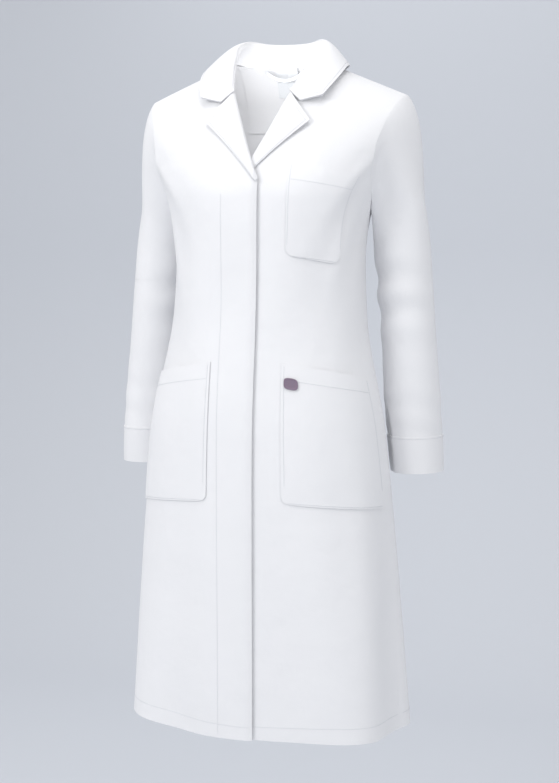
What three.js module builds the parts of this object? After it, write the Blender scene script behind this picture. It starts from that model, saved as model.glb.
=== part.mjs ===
import * as THREE from "three";

// A long-sleeved coat on its wearer. Millimetres, +Z up, front towards -Y, the wearer's left at +X.
// The origin is the middle of the back neck, where the collar meets the back.

// Drops below the back neck
const coatLength = 1015;
const hipDrop = 560;
const waistDrop = 370;
const chestDrop = 205;
const shoulderDrop = 48;
const splitDrop = 312; // the fronts are free to open below here
const breakDrop = 150; // where the lapels cross

// Half widths, and depths in front of and behind the middle of the body
const hemHalf = 212;
const hipHalf = 182;
const waistHalf = 150;
const chestHalf = 160;
const yokeHalf = 262;
const hemFront = 128;
const hipFront = 124;
const waistFront = 112;
const chestFront = 116;
const yokeFront = 104;
const hemBack = 112;
const hipBack = 104;
const waistBack = 84;
const chestBack = 100;
const yokeBack = 66;
const bodyMiddle = -85; // y of the middle of the body
const shoulderMiddle = -41; // y of the shoulder seam
const squareness = 2.3;

// Shoulders and neck
const shoulderHalf = 200;
const neckHalf = 74;
const neckRise = 4;
const shoulderRound = 110; // height over which the body closes to the shoulder seam

// Cloth and its layers
const cloth = 2;
const seam = 1.2;
const layer = 1.6;
const lap = 14; // each front runs this far past the middle
const flyWidth = 58;
const buttonSize = 15;
const buttonThick = 3;
const facingWidth = 75;

// Sleeves
const sleeveTopX = chestHalf + 18; // the sleeves hang beside the chest
const sleeveTopDrop = 128;
const elbowX = chestHalf + 44;
const elbowDrop = 345;
const wristX = chestHalf + 64;
const wristDrop = 622;
const sleeveTopY = -41;
const elbowY = -32;
const wristY = -22;
const sleeveTopRadius = 48;
const elbowRadius = 45;
const wristRadius = 43;
const cuffHeight = 52;
const elbowGap = 2;
const armholeGap = 2.5;

// Pockets
const pocketRoom = 12;
const hipPocketTop = 447;
const hipPocketHeight = 228;
const hipPocketSlope = 12;
const hipPocketInner = 53;
const hipPocketOuter = 166;
const breastPocketTop = 153;
const breastPocketHeight = 142;
const breastPocketSlope = 15;
const breastPocketInner = 56;
const breastPocketOuter = 138;
const pocketHem = 24;

// Neck pieces
const collarRise = 32;
const collarFall = 58;
const labelWidth = 38;
const labelHeight = 20;
const careLabelHeight = 24;
const loopWidth = 60;
const loopDrop = 13;
const loopCord = 4;

const { lerp, smoothstep } = THREE.MathUtils;
const vector = (x, y, z) => new THREE.Vector3(x, y, z);
const white = { color: 0xf2f4f7, roughness: 0.85, metalness: 0 };
const coat = new THREE.Group();

// Smooth curve of a size against the drop, through the sizes at the named levels.
function throughLevels(drops, sizes, drop) {
  let i = 0;
  while (i < drops.length - 2 && drop > drops[i + 1]) i++;
  const slope = (k) => {
    const a = Math.max(k - 1, 0);
    const b = Math.min(k + 1, drops.length - 1);
    return (sizes[b] - sizes[a]) / (drops[b] - drops[a]);
  };
  const span = drops[i + 1] - drops[i];
  const t = (drop - drops[i]) / span;
  if (t < 0) return sizes[0] + slope(0) * t * span;
  const start = (1 + 2 * t) * (1 - t) ** 2 * sizes[i] + t * (1 - t) ** 2 * span * slope(i);
  const end = t * t * (3 - 2 * t) * sizes[i + 1] + t * t * (t - 1) * span * slope(i + 1);
  return start + end;
}

const levels = [shoulderDrop, chestDrop, waistDrop, hipDrop, coatLength];
const halfAt = (drop) => throughLevels(levels, [yokeHalf, chestHalf, waistHalf, hipHalf, hemHalf], drop);
const frontAt = (drop) => throughLevels(levels, [yokeFront, chestFront, waistFront, hipFront, hemFront], drop);
const backAt = (drop) => throughLevels(levels, [yokeBack, chestBack, waistBack, hipBack, hemBack], drop);
const middleAt = (drop) => lerp(shoulderMiddle, bodyMiddle, smoothstep(drop, shoulderDrop, chestDrop));
const shoulderZ = (x) => {
  const slope = (neckRise + shoulderDrop) / (shoulderHalf - neckHalf);
  return neckRise - slope * (Math.abs(x) - neckHalf);
};

// A point of the body at x and drop, on the front or the back. The depth is a rounded square of x,
// and closes to the shoulder seam as a quarter ellipse.
function bodyPoint(x, drop, isBack) {
  const across = Math.min(Math.abs(x) / halfAt(drop), 1);
  const round = (1 - across ** squareness) ** (1 / squareness);
  const below = THREE.MathUtils.clamp((shoulderZ(x) + drop) / shoulderRound, 0, 1);
  const cap = Math.sqrt(1 - (1 - below) ** 2);
  const depth = isBack ? backAt(drop) : -frontAt(drop);
  return vector(x, middleAt(drop) + depth * round * cap, -drop);
}

// A point of the body below the armholes. The angle is 0 at the front and 180 at the back.
function ringPoint(angle, drop) {
  const a = THREE.MathUtils.degToRad(angle);
  const share = (value) => Math.sign(value) * Math.abs(value) ** (2 / squareness);
  const depth = Math.cos(a) < 0 ? backAt(drop) : frontAt(drop);
  const y = middleAt(drop) - depth * share(Math.cos(a));
  return vector(halfAt(drop) * share(Math.sin(a)), y, -drop);
}

// The angle at which the body reaches x at a drop.
const angleAt = (x, drop) => {
  const across = Math.min(Math.abs(x) / halfAt(drop), 1);
  return Math.sign(x) * THREE.MathUtils.radToDeg(Math.asin(across ** (squareness / 2)));
};

// Roughly away from the wearer's trunk.
const fromBody = (p) => vector(p.x, p.y - bodyMiddle, Math.max(p.z + splitDrop, 0));

// A closed solid between two distances from a surface along its normal. surface(u, v) gives a point,
// outwards(point) points roughly away from the wearer, and closed joins u = 1 to u = 0.
function clothSolid(surface, uSteps, vSteps, inner, outer, outwards = fromBody, closed = false) {
  const step = 1e-3;
  const positions = [];
  const inward = typeof inner === "function" ? inner : () => inner;
  const outward = typeof outer === "function" ? outer : () => outer;
  for (const distance of [inward, outward]) {
    for (let j = 0; j <= vSteps; j++) {
      for (let i = 0; i <= uSteps; i++) {
        const u = closed && i === uSteps ? 0 : i / uSteps;
        const v = j / vSteps;
        const p = surface(u, v);
        const u0 = closed ? u - step : Math.max(u - step, 0);
        const u1 = closed ? u + step : Math.min(u + step, 1);
        const v0 = Math.max(v - step, 0);
        const v1 = Math.min(v + step, 1);
        const alongU = surface(u1, v).sub(surface(u0, v));
        const normal = alongU.cross(surface(u, v1).sub(surface(u, v0))).normalize();
        if (normal.dot(outwards(p)) < 0) normal.negate();
        p.addScaledVector(normal, distance(u, v));
        positions.push(p.x, p.y, p.z);
      }
    }
  }
  const row = uSteps + 1;
  const sheet = row * (vSteps + 1);
  const faces = [];
  const quad = (a, b, c, d) => faces.push(a, b, c, a, c, d);
  for (let j = 0; j < vSteps; j++) {
    for (let i = 0; i < uSteps; i++) {
      const a = j * row + i;
      quad(a, a + row, a + row + 1, a + 1);
      quad(sheet + a, sheet + a + 1, sheet + a + row + 1, sheet + a + row);
    }
  }
  for (let i = 0; i < uSteps; i++) {
    const top = vSteps * row + i;
    quad(i, i + 1, sheet + i + 1, sheet + i);
    quad(top + 1, top, sheet + top, sheet + top + 1);
  }
  for (let j = 0; j < vSteps && !closed; j++) {
    const left = j * row;
    const right = left + uSteps;
    quad(left + row, left, sheet + left, sheet + left + row);
    quad(right, right + row, sheet + right + row, sheet + right);
  }
  const geometry = new THREE.BufferGeometry();
  geometry.setAttribute("position", new THREE.Float32BufferAttribute(positions, 3));
  geometry.setIndex(faces);
  if (volumeOf(positions, faces) < 0) geometry.setIndex(faces.reverse());
  geometry.computeVertexNormals();
  return geometry;
}

// Six times the signed volume: positive when the faces point out.
function volumeOf(positions, faces) {
  const at = (i) => vector(positions[3 * i], positions[3 * i + 1], positions[3 * i + 2]);
  let total = 0;
  for (let i = 0; i < faces.length; i += 3) {
    total += at(faces[i]).dot(at(faces[i + 1]).cross(at(faces[i + 2])));
  }
  return total;
}

function addPiece(name, geometry, look = white) {
  const mesh = new THREE.Mesh(geometry, new THREE.MeshStandardMaterial(look));
  mesh.name = name;
  coat.add(mesh);
  return mesh;
}

// How far a right-hand piece stands off the body, so that it laps over the buttons and the left front.
const flyLift = cloth + buttonThick + cloth + 4 * layer;
const lifted = (p) => {
  const belowNeck = smoothstep(-p.z, 60, breakDrop - 10);
  return flyLift * belowNeck * (1 - smoothstep(Math.abs(p.x), flyWidth, flyWidth + 60));
};

// The moving part of a front: from the split to the hem, side -1 is the wearer's right.
// Its side seam stays in front of the body's widest place.
const sideAngle = 76;
function lowerFront(side) {
  return (u, v) => {
    const drop = lerp(splitDrop + seam, coatLength, v);
    const angle = lerp(angleAt(-lap, drop), sideAngle, u);
    const p = ringPoint(side * angle, drop);
    if (side < 0) p.y -= lifted(p);
    return p;
  };
}

// The fixed part of a front: up to the roll line, the shoulder seam and the armhole.
function upperFront(side) {
  return (u, v) => {
    const neckShare = 0.42;
    const angle = lerp(angleAt(-lap, splitDrop), sideAngle, u);
    const xBottom = Math.abs(ringPoint(angle, splitDrop).x) * Math.sign(angle);
    const onNeck = Math.min(u / neckShare, 1);
    const onShoulder = Math.max((u - neckShare) / (1 - neckShare), 0);
    const xTop = u < neckShare ? lerp(-lap, neckHalf, onNeck) : lerp(neckHalf, shoulderHalf, onShoulder);
    const zNeck = lerp(-breakDrop - lap, neckRise - layer, onNeck);
    const zTop = u < neckShare ? zNeck : shoulderZ(xTop) - layer;
    const x = lerp(xBottom, xTop, v * v);
    const p = bodyPoint(x, -lerp(-splitDrop, zTop, v), false);
    p.x *= side;
    if (side < 0) p.y -= lifted(p);
    return p;
  };
}

function upperBack(side) {
  return (u, v) => {
    const neckShare = 0.36;
    const angle = lerp(0, 180 - sideAngle - seam, u);
    const xBottom = ringPoint(180 - angle, splitDrop).x;
    const onNeck = Math.min(u / neckShare, 1);
    const onShoulder = Math.max((u - neckShare) / (1 - neckShare), 0);
    const xTop = u < neckShare ? lerp(0, neckHalf, onNeck) : lerp(neckHalf, shoulderHalf, onShoulder);
    const zTop = u < neckShare ? lerp(-layer, neckRise - layer, onNeck ** 2) : shoulderZ(xTop) - layer;
    const wrap = ringPoint(180 - angle, lerp(splitDrop, chestDrop, Math.min(v * 4, 1)));
    const x = Math.max(lerp(xBottom, xTop, v * v), seam / 2);
    const p = bodyPoint(x, -lerp(-splitDrop, zTop, v), true);
    const frontward = 1 - smoothstep(v, 0, 0.25);
    p.y = lerp(p.y, wrap.y, 180 - angle < 90 ? frontward : 0);
    p.x *= side;
    return p;
  };
}

function lowerBack(side) {
  return (u, v) => {
    const drop = lerp(splitDrop + seam, coatLength, v);
    const start = 180 - angleAt(seam / 2, drop);
    return ringPoint(side * lerp(start, sideAngle + 1.2, u), drop);
  };
}

const rowHeight = 72; // keeps the faceted fronts close to the curve that the buttons sit on
const skirtRows = Math.round((coatLength - splitDrop) / rowHeight);
for (const [side, name] of [[1, "left"], [-1, "right"]]) {
  addPiece(name + "_front_lower", clothSolid(lowerFront(side), 9, skirtRows, 0, cloth));
  addPiece(name + "_front_upper", clothSolid(upperFront(side), 12, 9, 0, cloth));
  addPiece(name + "_back_lower", clothSolid(lowerBack(side), 9, 6, 0, cloth));
  addPiece(name + "_back_upper", clothSolid(upperBack(side), 12, 7, 0, cloth));
}

// Front facings: the turned-in strips behind the front edges.
function facing(side, from, to) {
  return (u, v) => {
    const drop = lerp(splitDrop + seam, coatLength - seam, v);
    const x = lerp(from, to, u);
    const p = ringPoint(side * angleAt(x, drop), drop);
    if (side < 0) p.y -= lifted(p);
    return p;
  };
}
const facingIn = -layer - cloth;
const rightFacingStart = lap + 10; // clear of the buttonhole band
addPiece("left_front_facing", clothSolid(facing(1, -lap + seam, facingWidth), 4, skirtRows, facingIn, -layer));
const rightFacingEnd = facingWidth + rightFacingStart;
const rightFacing = facing(-1, rightFacingStart, rightFacingEnd);
addPiece("right_front_facing", clothSolid(rightFacing, 4, skirtRows, facingIn - layer, -2 * layer));

// The buttonhole band behind the right front's edge, clear of the left front and its buttons.
const bandOut = -1.6 * layer;
const bandIn = bandOut - cloth;
const flyBand = (top, bottom) => (u, v) => {
  const p = bodyPoint(-lerp(-lap + seam, rightFacingStart - seam, u), lerp(top, bottom, v), false);
  p.y -= lifted(p);
  return p;
};
addPiece("fly_band_upper", clothSolid(flyBand(breakDrop + 24, splitDrop - seam), 3, 5, bandIn, bandOut));
addPiece("fly_band_lower", clothSolid(flyBand(splitDrop + seam, coatLength - 60), 3, 8, bandIn, bandOut));

// Buttons on the left front, hidden by the fly.
const buttonDrops = [182, 272, 362, 472, 582, 692];
const buttonGap = 0.9;
buttonDrops.forEach((drop, i) => {
  const disc = new THREE.CylinderGeometry(buttonSize / 2, buttonSize / 2, buttonThick, 16);
  const button = addPiece("fly_button_" + (i + 1), disc, { color: 0xf0efe9, roughness: 0.35, metalness: 0 });
  const seat = bodyPoint(0, drop, false);
  button.position.set(0, seat.y - cloth - buttonGap - buttonThick / 2, -drop);
  const slope = (frontAt(drop + 8) - frontAt(drop - 8)) / 16;
  button.rotation.x = -Math.atan(slope);
});

// Lapels: the turned-back tops of the fronts, from the roll line to the outer edge.
const rollStart = 6;
const rollEnd = 66;
const rollTopDrop = 26;
const lapelStart = 16;
const lapelTip = 84;
const lapelTipDrop = 94;
const lapelCurve = 0.85;
function lapel(side) {
  return (u, v) => {
    const rollX = lerp(rollStart, rollEnd, v);
    const rollDrop = lerp(breakDrop + 4, rollTopDrop, v);
    const edgeX = lerp(lapelStart, lapelTip, v ** lapelCurve);
    const edgeDrop = lerp(breakDrop + 8, lapelTipDrop, v);
    const p = bodyPoint(lerp(rollX, edgeX, u), lerp(rollDrop, edgeDrop, u), false);
    p.x *= side;
    if (side < 0) p.y -= lifted(p);
    return p;
  };
}
const lapelIn = layer + cloth;
const lapelOut = lapelIn + cloth;
addPiece("left_lapel", clothSolid(lapel(1), 4, 5, lapelIn, lapelOut));
addPiece("right_lapel", clothSolid(lapel(-1), 4, 5, lapelIn, lapelOut));

// Neck pieces follow one neck line, from the front on one side, round the back, to the other.
// turn runs from -1 on the wearer's right to 1 on the left, and is 0 at the back.
const neckLine = new THREE.CatmullRomCurve3([
  vector(0, -3, 3),
  vector(44, -12, 6),
  vector(neckHalf - 6, shoulderMiddle, neckRise + 6),
  vector(neckHalf - 14, -88, -12),
  vector(neckHalf - 28, -122, -44),
]);
const foldLine = new THREE.CatmullRomCurve3([
  vector(0, 7, collarRise),
  vector(46, -4, collarRise),
  vector(neckHalf + 1, shoulderMiddle + 2, collarRise - 4),
  vector(neckHalf + 4, -92, 0),
  vector(neckHalf - 6, -128, -38),
]);
const fallLine = new THREE.CatmullRomCurve3([
  vector(0, 40, collarRise - collarFall),
  vector(66, 30, collarRise - collarFall - 2),
  vector(neckHalf + 40, shoulderMiddle - 2, collarRise - collarFall + 24),
  vector(neckHalf + 42, -104, -32),
  vector(neckHalf + 20, -150, -64),
]);
const mirrored = (curve, turn) => {
  const p = curve.getPoint(Math.abs(turn));
  p.x *= Math.sign(turn);
  return p;
};
const fromNeck = (p) => vector(p.x, p.y + 60, 0.5 * (p.z + 60));
const neckRing = (low, high, reach, bottom, top) => (u, v) => {
  const turn = lerp(-reach, reach, u);
  const share = lerp(bottom, top, v);
  return mirrored(low, turn).lerp(mirrored(high, turn), share);
};
// The fall bulges up and out over the shoulder between the fold and its edge.
const fallBulge = 10;
const fall = (u, v) => {
  const turn = lerp(-1, 1, u);
  const p = mirrored(foldLine, turn).lerp(mirrored(fallLine, turn), v);
  p.z += fallBulge * Math.sin(Math.PI * v);
  return p;
};
const collarLayer = 1.2;
addPiece("collar_stand", clothSolid(neckRing(neckLine, foldLine, 0.66, 0.1, 0.86), 14, 2, -cloth, 0, fromNeck));
addPiece("upper_collar", clothSolid(fall, 18, 4, collarLayer + cloth, collarLayer + 2 * cloth, fromNeck));
addPiece("under_collar", clothSolid((u, v) => fall(u, lerp(0.06, 0.98, v)), 18, 4, 0, cloth, fromNeck));

// The back neck facing inside the back, with the two labels and the hanger loop on it.
const facingReach = 56;
const facingHeight = 100;
const facingTopDrop = 15;
const neckLayer = 3.6;
function backNeckFacing(u, v) {
  const x = lerp(-facingReach, facingReach, u);
  return bodyPoint(x, lerp(facingTopDrop, facingHeight, v), true);
}
addPiece("back_neck_facing", clothSolid(backNeckFacing, 10, 6, -neckLayer - cloth, -neckLayer));

// A flat piece inside the back neck, between two drops.
function neckPatch(width, top, bottom) {
  return (u, v) => bodyPoint(lerp(-width / 2, width / 2, u), lerp(top, bottom, v), true);
}
const labelTop = -6; // it reaches up over the neck seam
const labelBottom = labelTop + labelHeight;
const careTop = labelBottom + 3;
const careBottom = careTop + careLabelHeight;
const labelOut = -neckLayer - cloth - layer;
const labelIn = labelOut - 1;
addPiece("neck_label", clothSolid(neckPatch(labelWidth, labelTop, labelBottom), 4, 3, labelIn, labelOut));
addPiece("care_label", clothSolid(neckPatch(labelWidth, careTop, careBottom), 4, 3, labelIn - 1, labelOut - 1));

// Hanger loop: a cord between two sewn ends, hanging inside the neck.
const loopTop = 6;
const loopY = -16;
const loopPath = new THREE.CatmullRomCurve3([
  vector(-loopWidth / 2, loopY, -loopTop),
  vector(-loopWidth / 2 + 5, loopY, -loopTop - loopDrop),
  vector(loopWidth / 2 - 5, loopY, -loopTop - loopDrop),
  vector(loopWidth / 2, loopY, -loopTop),
]);
const loopSection = new THREE.Shape().absarc(0, 0, loopCord / 2, 0, 2 * Math.PI);
const loopSolid = { steps: 12, curveSegments: 2, extrudePath: loopPath };
addPiece("hanger_loop", new THREE.ExtrudeGeometry(loopSection, loopSolid));

// Sleeves. A sleeve is a tube about a line from the armhole by the elbow to the wrist. around is 0 on the
// outside and grows towards the front.
const underarmShare = 0.4; // where the armhole starts, as a share of the way up the upper panels
function sleeveRing(side, around, along, topDrop, bottomDrop) {
  const drop = lerp(topDrop, bottomDrop, along);
  const xs = throughLevels([sleeveTopDrop, elbowDrop, wristDrop], [sleeveTopX, elbowX, wristX], drop);
  const ys = throughLevels([sleeveTopDrop, elbowDrop, wristDrop], [sleeveTopY, elbowY, wristY], drop);
  const radii = [sleeveTopRadius, elbowRadius, wristRadius];
  const radius = throughLevels([sleeveTopDrop, elbowDrop, wristDrop], radii, drop);
  const a = THREE.MathUtils.degToRad(around);
  return vector(side * (xs + radius * Math.cos(a)), ys - radius * Math.sin(a), -drop);
}

// The sleeve head is sewn round the armhole, and runs from it into the tube.
function upperSleeve(side, from, to) {
  return (u, v) => {
    const around = lerp(from, to, u);
    const fromTip = Math.abs(((around + 180) % 360) - 180) / 180;
    const isBack = Math.sin(THREE.MathUtils.degToRad(around)) < 0;
    const edge = isBack ? upperBack(side) : upperFront(side);
    const p = edge(1, lerp(1, underarmShare, fromTip));
    p.x += side * (armholeGap + cloth);
    const inward = (1 - Math.cos(THREE.MathUtils.degToRad(around))) / 2;
    const startDrop = lerp(shoulderDrop + 20, chestDrop + 22, inward ** 0.8);
    const tube = sleeveRing(side, around, v, startDrop, elbowDrop - elbowGap / 2);
    tube.x += side * armholeGap;
    return p.lerp(tube, smoothstep(v, 0, 0.4));
  };
}
function lowerSleeve(side, from, to) {
  return (u, v) => {
    const around = lerp(from, to, u);
    const p = sleeveRing(side, around, v, elbowDrop + elbowGap / 2, wristDrop - cuffHeight - seam);
    p.x += side * armholeGap;
    return p;
  };
}
function cuff(side) {
  return (u, v) => {
    const p = sleeveRing(side, 360 * u, v, wristDrop - cuffHeight, wristDrop);
    p.x += side * armholeGap;
    return p;
  };
}
const seamAngle = 2; // half the gap at a sleeve seam, in degrees
for (const [side, name] of [[1, "left"], [-1, "right"]]) {
  const outwards = (p) => {
    const axis = sleeveRing(side, 0, 0, -p.z, -p.z);
    const opposite = sleeveRing(side, 180, 0, -p.z, -p.z);
    return p.clone().sub(axis.lerp(opposite, 0.5));
  };
  // The top sleeve is the outer two thirds, and the under sleeve the inner third.
  const topFrom = -120 + seamAngle;
  const topTo = 120 - seamAngle;
  const underFrom = 120 + seamAngle;
  const underTo = 240 - seamAngle;
  const add = (piece, surface, uSteps, vSteps) =>
    addPiece(name + "_" + piece, clothSolid(surface, uSteps, vSteps, 0, cloth, outwards));
  add("top_sleeve_upper", upperSleeve(side, topFrom, topTo), 10, 5);
  add("under_sleeve_upper", upperSleeve(side, underFrom, underTo), 5, 5);
  add("top_sleeve_lower", lowerSleeve(side, topFrom, topTo), 10, 3);
  add("under_sleeve_lower", lowerSleeve(side, underFrom, underTo), 5, 3);
  addPiece(name + "_cuff", clothSolid(cuff(side), 18, 1, 0, cloth + 0.6, outwards, true));
}

// Pockets: patches that stand off the front they are sewn to, and touch it at the sides and bottom.
const roomAt = (u, v) => pocketRoom * (1 - Math.abs(2 * u - 1) ** 8) * (1 - v ** 10);
const lowerPatch = (side, inner, outer, top, bottom, slope) => (u, v) => {
  const drop = lerp(top + slope * u, bottom, v);
  const outerAngle = Math.min(angleAt(outer, drop), sideAngle - 4);
  const p = ringPoint(side * lerp(angleAt(inner, drop), outerAngle, u), drop);
  if (side < 0) p.y -= lifted(p);
  return p;
};
const patchIn = (u, v) => cloth + layer + roomAt(u, v);
const patchOut = (u, v) => patchIn(u, v) + cloth;
const pocketHemIn = cloth + layer + pocketRoom + cloth + layer;
const pocketHemOut = pocketHemIn + 1;
for (const [side, name] of [[1, "left"], [-1, "right"]]) {
  const bottom = hipPocketTop + hipPocketHeight;
  const patch = lowerPatch(side, hipPocketInner, hipPocketOuter, hipPocketTop, bottom, hipPocketSlope);
  addPiece(name + "_hip_pocket", clothSolid(patch, 9, 6, patchIn, patchOut));
  const hemBottom = hipPocketTop + pocketHem;
  const hem = lowerPatch(side, hipPocketInner, hipPocketOuter, hipPocketTop, hemBottom, hipPocketSlope);
  addPiece(name + "_hip_pocket_hem", clothSolid(hem, 9, 1, pocketHemIn, pocketHemOut));
}
function breastPatch(top, bottom) {
  return (u, v) => {
    const drop = lerp(top, bottom, v) + breastPocketSlope * u;
    return bodyPoint(lerp(breastPocketInner, breastPocketOuter, u), drop, false);
  };
}
const breastBottom = breastPocketTop + breastPocketHeight - breastPocketSlope;
const breastShape = breastPatch(breastPocketTop, breastBottom);
addPiece("breast_pocket", clothSolid(breastShape, 8, 6, patchIn, patchOut));
const breastHem = breastPatch(breastPocketTop, breastPocketTop + pocketHem);
addPiece("breast_pocket_hem", clothSolid(breastHem, 8, 1, pocketHemIn, pocketHemOut));

// A small plain patch near the top inner corner of the left hip pocket.
const badgeSize = 18;
const badgeStart = hipPocketInner + 8;
const badgeTop = hipPocketTop + pocketHem + 6;
const badge = lowerPatch(1, badgeStart, badgeStart + badgeSize, badgeTop, badgeTop + badgeSize, 0);
addPiece("pocket_badge", clothSolid(badge, 3, 3, pocketHemIn, pocketHemOut), { color: 0xc9ced6, roughness: 0.6 });

export default coat;
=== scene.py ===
import math
import bpy
import numpy as np
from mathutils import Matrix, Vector


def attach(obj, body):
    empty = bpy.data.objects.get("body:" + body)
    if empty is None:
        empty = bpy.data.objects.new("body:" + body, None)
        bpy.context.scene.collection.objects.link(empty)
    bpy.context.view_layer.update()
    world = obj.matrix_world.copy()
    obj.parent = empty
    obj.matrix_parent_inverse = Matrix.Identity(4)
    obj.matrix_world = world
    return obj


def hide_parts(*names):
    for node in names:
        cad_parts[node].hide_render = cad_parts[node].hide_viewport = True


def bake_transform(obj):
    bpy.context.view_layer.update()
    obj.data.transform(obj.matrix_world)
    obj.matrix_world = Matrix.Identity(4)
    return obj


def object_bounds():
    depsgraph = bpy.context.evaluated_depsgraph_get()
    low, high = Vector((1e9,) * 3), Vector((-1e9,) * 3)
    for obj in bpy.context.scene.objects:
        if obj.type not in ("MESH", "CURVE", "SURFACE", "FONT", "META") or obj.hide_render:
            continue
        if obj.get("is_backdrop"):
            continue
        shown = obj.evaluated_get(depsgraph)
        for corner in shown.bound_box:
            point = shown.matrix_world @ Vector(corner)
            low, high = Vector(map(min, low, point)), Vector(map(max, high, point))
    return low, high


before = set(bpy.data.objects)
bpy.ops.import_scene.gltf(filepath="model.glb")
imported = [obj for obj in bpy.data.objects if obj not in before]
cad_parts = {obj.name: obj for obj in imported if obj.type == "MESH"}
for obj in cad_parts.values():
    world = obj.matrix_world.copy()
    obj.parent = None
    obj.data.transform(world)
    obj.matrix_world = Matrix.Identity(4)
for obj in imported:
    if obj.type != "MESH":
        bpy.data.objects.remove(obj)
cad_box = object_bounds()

# The view: a long lens at chest height, a little to the wearer's left of straight ahead.
# It looks at the middle of the coat from about two and a half metres away.
AIM = Vector((0.0165, -0.080, -0.500))
VIEW_TURN = math.radians(17.0)
VIEW_RISE = math.radians(5.6)
VIEW_DISTANCE = 2.478
looking = Vector((-math.sin(VIEW_TURN) * math.cos(VIEW_RISE), math.cos(VIEW_TURN) * math.cos(VIEW_RISE),
                  -math.sin(VIEW_RISE)))
camera = bpy.data.objects.new("camera", bpy.data.cameras.new("camera"))
camera.data.lens = 103.0
camera.data.sensor_width = 36.0
camera.data.sensor_fit = "HORIZONTAL"
camera.location = AIM - looking * VIEW_DISTANCE
camera.rotation_euler = looking.to_track_quat("-Z", "Y").to_euler()
bpy.context.scene.collection.objects.link(camera)
bpy.context.scene.camera = camera

# The studio: a pale sweep that runs from the floor up the wall, with large soft lamps.
# The coat hangs clear of the floor at the height of its wearer.
FLOOR = -1.50
SWEEP_COLOUR = (0.665, 0.69, 0.735, 1.0)


def sweep_grid(columns=2, rows=24):
    """A floor line, then a quarter circle up to a wall line, carried straight across."""
    turn = np.linspace(0, math.pi / 2, rows)
    reach = np.concatenate([[-6.0], 1.6 + 1.2 * np.sin(turn), [2.8]])
    height = np.concatenate([[0.0], 1.2 - 1.2 * np.cos(turn), [5.5]])
    across = np.linspace(-7.0, 7.0, columns)
    grid = np.zeros((len(reach), columns, 3))
    grid[..., 0] = across[None, :]
    grid[..., 1] = reach[:, None]
    grid[..., 2] = height[:, None] + FLOOR
    return grid


class Look:
    """A material's node tree, with one method that adds any node."""

    def __init__(self, name):
        self.material = bpy.data.materials.new(name)
        self.material.use_nodes = True
        self.tree = self.material.node_tree
        self.shader = self.tree.nodes["Principled BSDF"]

    def node(self, kind, settings, sockets, output=0):
        """Adds a node: its settings first, then the values or links of its sockets."""
        made = self.tree.nodes.new(kind)
        for key, value in settings.items():
            setattr(made, key, value)
        for key, value in sockets.items():
            self.feed(made.inputs[key], value)
        return Amount(self, made.outputs[output])

    def feed(self, socket, value):
        if isinstance(value, Amount):
            self.tree.links.new(value.socket, socket)
        else:
            socket.default_value = value

    def finish(self, **sockets):
        for key, value in sockets.items():
            self.feed(self.shader.inputs[key.replace("_", " ")], value)
        return self.material


class Amount:
    """A socket's value, which adds, subtracts and multiplies as a number does."""

    def __init__(self, look, socket):
        self.look = look
        self.socket = socket

    def maths(self, operation, first, second):
        return self.look.node("ShaderNodeMath", {"operation": operation}, {0: first, 1: second})

    def __add__(self, other):
        return self.maths("ADD", self, other)

    def __radd__(self, other):
        return self.maths("ADD", other, self)

    def __sub__(self, other):
        return self.maths("SUBTRACT", self, other)

    def __rsub__(self, other):
        return self.maths("SUBTRACT", other, self)

    def __mul__(self, other):
        return self.maths("MULTIPLY", self, other)

    def __rmul__(self, other):
        return self.maths("MULTIPLY", other, self)


def grid_mesh(name, grid, outwards=None, around=False):
    """Joins the points of a rows by columns grid into quads, with a UV map in metres along its two ways.
    outwards(centres) gives rough outward directions, and around joins the last column to the first."""
    rows, columns = grid.shape[:2]
    index = np.arange(rows * columns).reshape(rows, columns)
    right = np.roll(index, -1, axis=1) if around else index[:, 1:]
    left = index if around else index[:, :-1]
    faces = np.stack([left[:-1], right[:-1], right[1:], left[1:]], axis=-1).reshape(-1, 4)
    points = grid.reshape(-1, 3)
    if outwards is not None:
        corners = points[faces]
        normal = np.cross(corners[:, 2] - corners[:, 0], corners[:, 3] - corners[:, 1])
        if np.sum(normal * outwards(corners.mean(axis=1))) < 0:
            faces = faces[:, ::-1]
    mesh = bpy.data.meshes.new(name)
    mesh.from_pydata(points.tolist(), [], faces.tolist())
    along = np.zeros((rows, columns, 2))
    steps_across = np.linalg.norm(np.diff(grid, axis=1), axis=-1).mean(axis=0)
    steps_down = np.linalg.norm(np.diff(grid, axis=0), axis=-1).mean(axis=1)
    along[..., 0] = np.concatenate([[0], np.cumsum(steps_across)])[None, :]
    along[..., 1] = np.concatenate([[0], np.cumsum(steps_down)])[:, None]
    ends = np.zeros(2 * len(mesh.edges), dtype=int)
    mesh.edges.foreach_get("vertices", ends)
    row_of, column_of = np.divmod(ends.reshape(-1, 2), columns)
    level = (row_of[:, 0] == row_of[:, 1]) & np.isin(row_of[:, 0], (0, rows - 1))
    upright = (column_of[:, 0] == column_of[:, 1]) & np.isin(column_of[:, 0], (0, columns - 1)) & (not around)
    crisp = mesh.attributes.new("sharp_edge", "BOOLEAN", "EDGE")
    crisp.data.foreach_set("value", level | upright)
    layer = mesh.uv_layers.new(name="cloth")
    layer.data.foreach_set("uv", along.reshape(-1, 2)[faces.reshape(-1)].astype(np.float32).reshape(-1))
    mesh.polygons.foreach_set("use_smooth", np.ones(len(faces), dtype=bool))
    mesh.update()
    made = bpy.data.objects.new(name, mesh)
    bpy.context.scene.collection.objects.link(made)
    return made


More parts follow.
